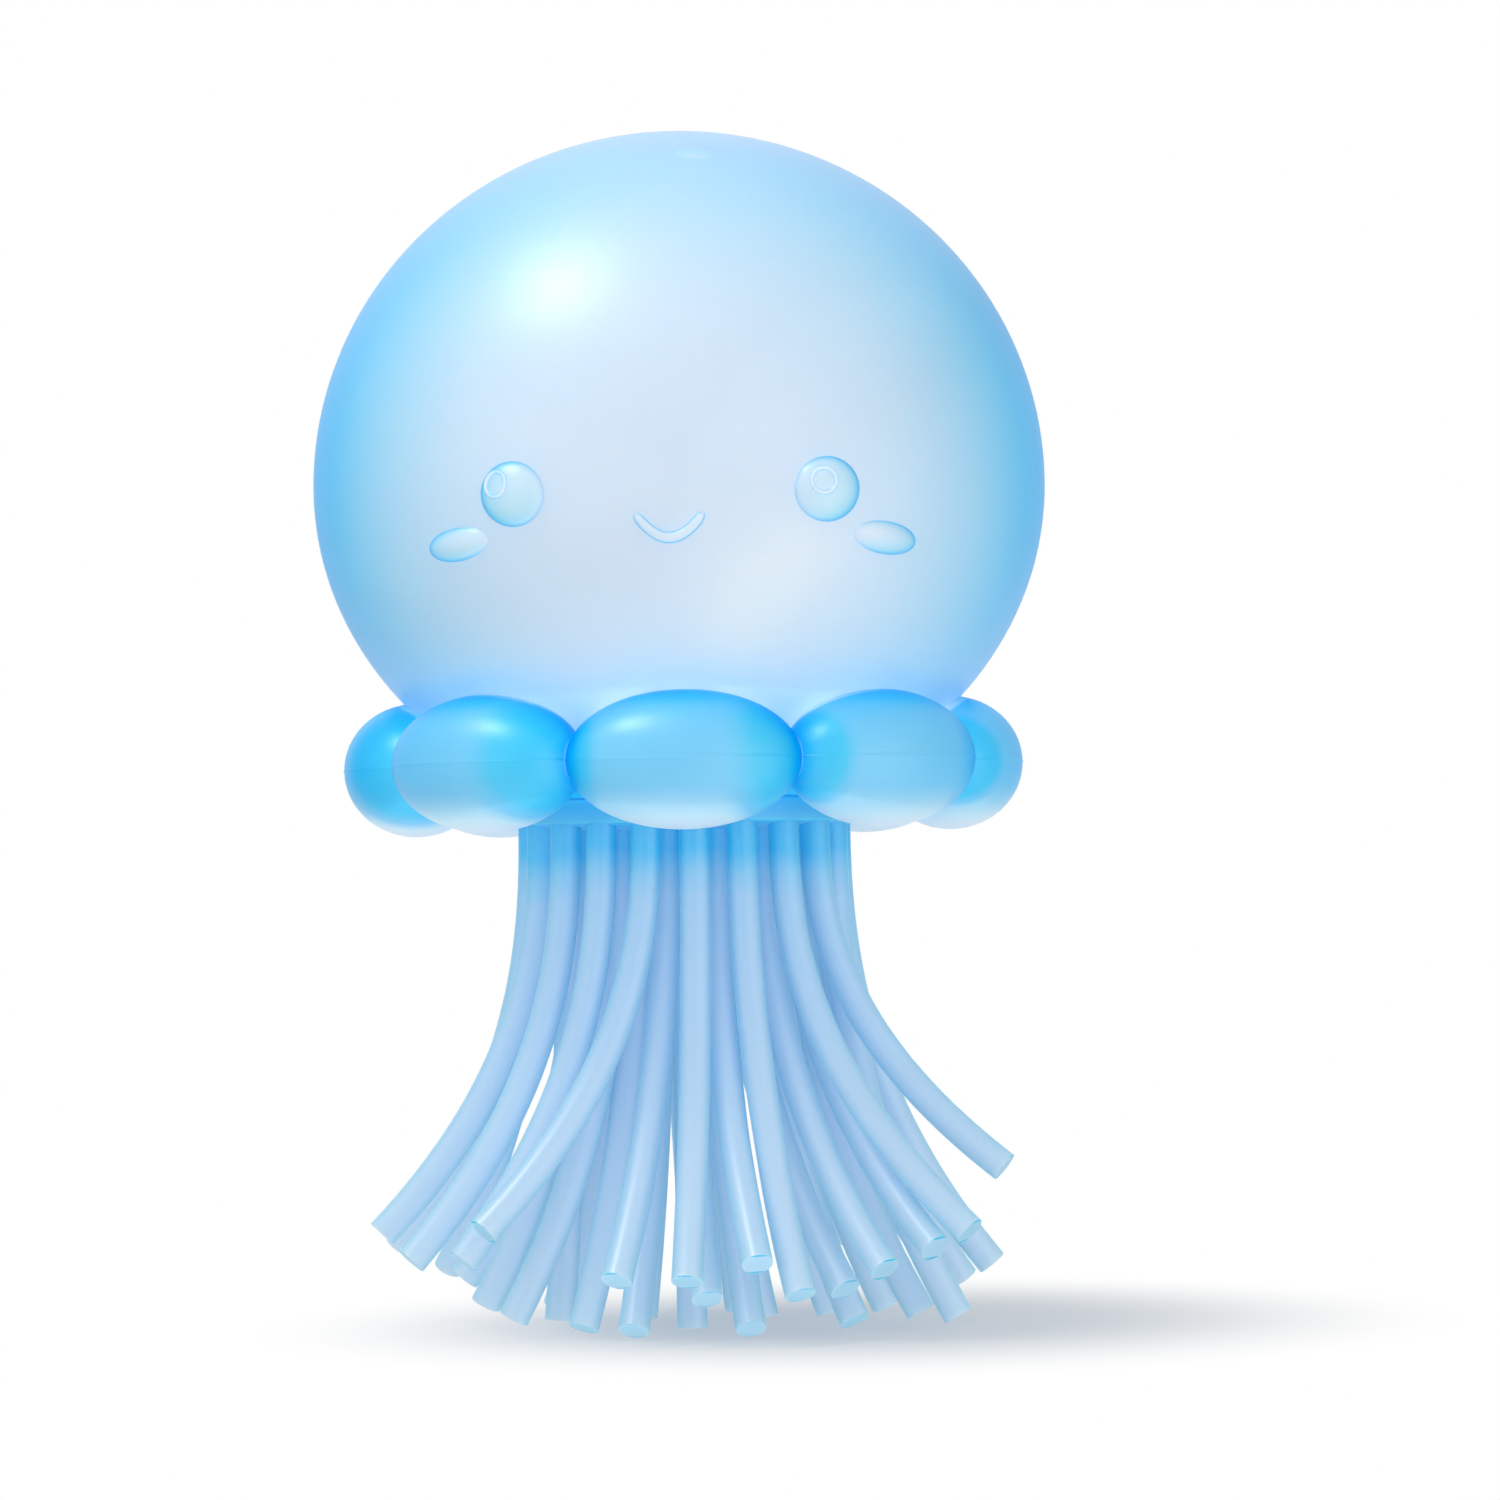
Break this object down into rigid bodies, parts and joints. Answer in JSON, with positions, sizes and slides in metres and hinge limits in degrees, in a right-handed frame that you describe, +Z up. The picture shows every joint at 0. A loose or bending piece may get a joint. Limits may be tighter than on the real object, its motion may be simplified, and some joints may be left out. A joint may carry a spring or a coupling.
{
  "type": "jellyfish squishy toy",
  "caption": "Soft rubber jellyfish squeeze toy: a round filled head with a smiling face in relief, a skirt of fat lobes and a bunch of rubber strands that hang below it.",
  "frame": {"origin": "on the floor under the middle of the toy, at the end of the middle strand", "axes": "+Z up along the toy's axis, -Y the way the face looks, +X to the viewer's right"},
  "size_m": [0.08, 0.08, 0.1306],
  "materials": {
    "bell": "translucent satin",
    "tentacles": "translucent satin"
  },
  "bodies": {
    "root": {"bell": "bell", "tentacles": "tentacles"}
  },
  "joints": []
}
